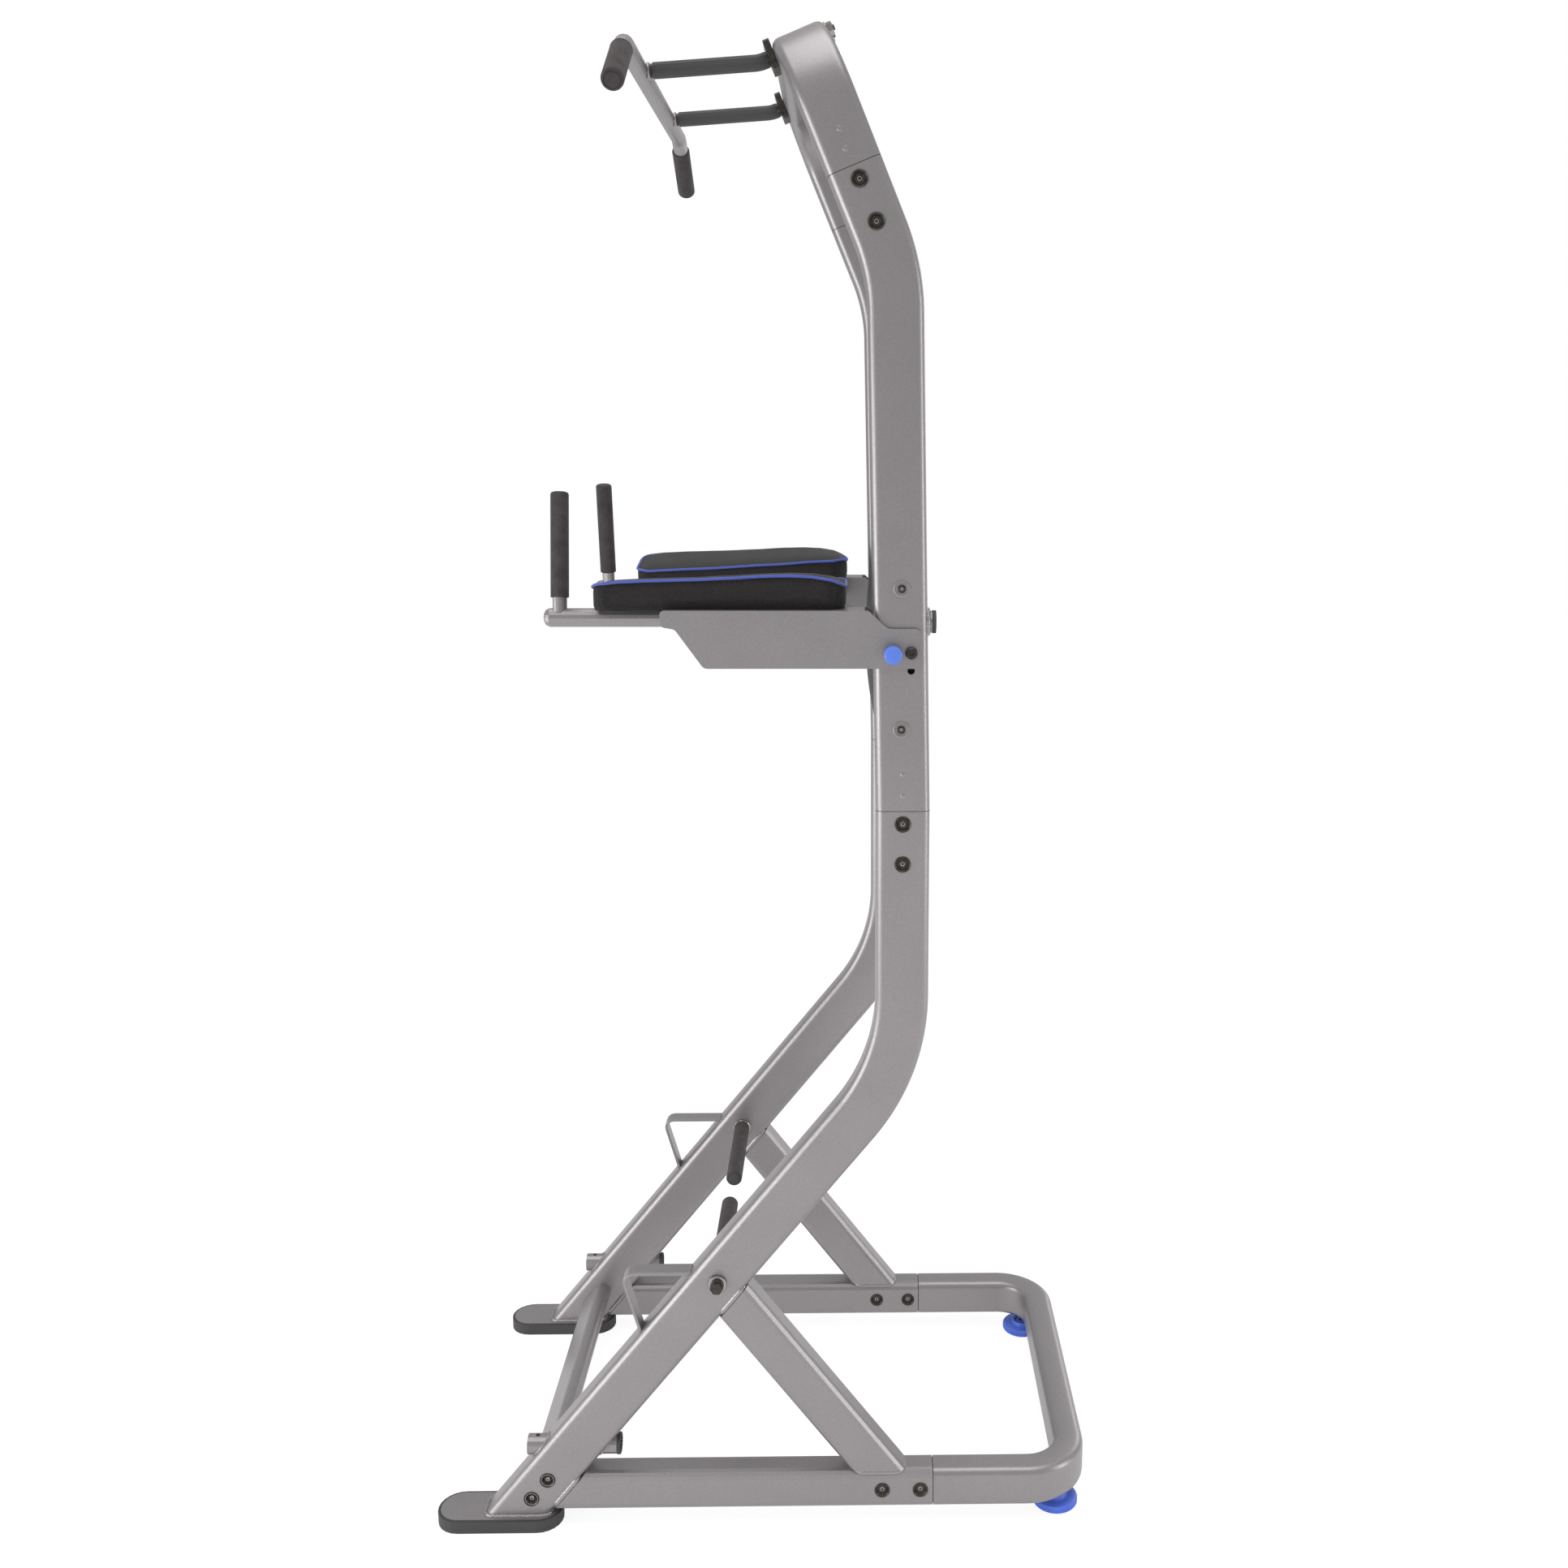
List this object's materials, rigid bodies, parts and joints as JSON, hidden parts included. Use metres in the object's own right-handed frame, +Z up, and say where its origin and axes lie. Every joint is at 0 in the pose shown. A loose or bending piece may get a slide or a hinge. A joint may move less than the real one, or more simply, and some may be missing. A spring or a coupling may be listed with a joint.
{
  "type": "bodyweight rack",
  "caption": "Free-standing steel rack for pull-ups, dips and knee raises, with fold-down padded arms, a backrest, low push-up handles and levelling feet.",
  "frame": {"origin": "on the floor, under the middle of the rack's box", "axes": "+Z up, -Y the side where the user stands, +X the right side seen from behind the user's front"},
  "size_m": [0.933, 1.0471, 2.2964],
  "materials": {
    "silver_paint": "silver grey powder coat",
    "dark_zinc": "dark zinc",
    "grip_foam": "closed-cell foam",
    "black_rubber": "moulded rubber",
    "blue_plastic": "blue moulded plastic",
    "pad_cover": "charcoal coated fabric over foam",
    "birch_board": "plywood"
  },
  "bodies": {
    "frame": {"backrest_bar_lower": "silver_paint", "backrest_bar_upper": "silver_paint", "backrest_board": "birch_board", "backrest_pad": "pad_cover", "band_loop_left": "silver_paint", "band_loop_right": "silver_paint", "cross_tube": "silver_paint", "foot_plate_left": "silver_paint", "foot_plate_right": "silver_paint", "foot_sole_left": "black_rubber", "foot_sole_right": "black_rubber", "leg_left": "silver_paint", "leg_right": "silver_paint", "low_handle_bar_left": "dark_zinc", "low_handle_bar_right": "dark_zinc", "low_handle_grip_left": "grip_foam", "low_handle_grip_right": "grip_foam", "low_socket_left": "silver_paint", "low_socket_right": "silver_paint", "mid_spigot_left": "dark_zinc", "mid_spigot_right": "dark_zinc", "neutral_bar_left": "dark_zinc", "neutral_bar_right": "dark_zinc", "neutral_sleeve_left": "black_rubber", "neutral_sleeve_right": "black_rubber", "pivot_bolt_left": "dark_zinc", "pivot_bolt_right": "dark_zinc", "pull_up_bar": "silver_paint", "pull_up_grip_left": "grip_foam", "pull_up_grip_right": "grip_foam", "rear_base": "silver_paint", "rear_socket_left": "silver_paint", "rear_socket_right": "silver_paint", "rear_spigot_left": "dark_zinc", "rear_spigot_right": "dark_zinc", "side_rail_left": "silver_paint", "side_rail_right": "silver_paint", "strut_left": "silver_paint", "strut_right": "silver_paint", "top_arch": "silver_paint", "upper_spigot_left": "dark_zinc", "upper_spigot_right": "dark_zinc", "upright_left": "silver_paint", "upright_right": "silver_paint"},
    "arm_right": {"arm_bracket_right": "silver_paint", "arm_tube_right": "silver_paint", "arm_grip_right": "grip_foam", "arm_pad_board_right": "birch_board", "arm_pad_right": "pad_cover"},
    "pull_pin_right": {"pull_pin_right": "blue_plastic"},
    "levelling_right": {"levelling_foot_right": "blue_plastic"},
    "arm_left": {"arm_bracket_left": "silver_paint", "arm_tube_left": "silver_paint", "arm_grip_left": "grip_foam", "arm_pad_board_left": "birch_board", "arm_pad_left": "pad_cover"},
    "pull_pin_left": {"pull_pin_left": "blue_plastic"},
    "levelling_left": {"levelling_foot_left": "blue_plastic"}
  },
  "joints": [
    {"name": "arm_right_fold", "type": "hinge", "parent": "frame", "child": "arm_right", "pos_m": [0.285, 0.22865, 1.409], "axis": [1, 0, 0], "range_deg": [0, 90]},
    {"name": "pull_pin_right_slide", "type": "slide", "parent": "arm_right", "child": "pull_pin_right", "axis": [1, 0, 0], "range_m": [-0.01, 0]},
    {"name": "levelling_right_screw", "type": "slide", "parent": "frame", "child": "levelling_right", "axis": [0, 0, -1], "range_m": [0, 0.012]},
    {"name": "arm_left_fold", "type": "hinge", "parent": "frame", "child": "arm_left", "pos_m": [-0.285, 0.22865, 1.409], "axis": [1, 0, 0], "range_deg": [0, 90]},
    {"name": "pull_pin_left_slide", "type": "slide", "parent": "arm_left", "child": "pull_pin_left", "axis": [-1, 0, 0], "range_m": [-0.01, 0]},
    {"name": "levelling_left_screw", "type": "slide", "parent": "frame", "child": "levelling_left", "axis": [0, 0, -1], "range_m": [0, 0.012]}
  ]
}
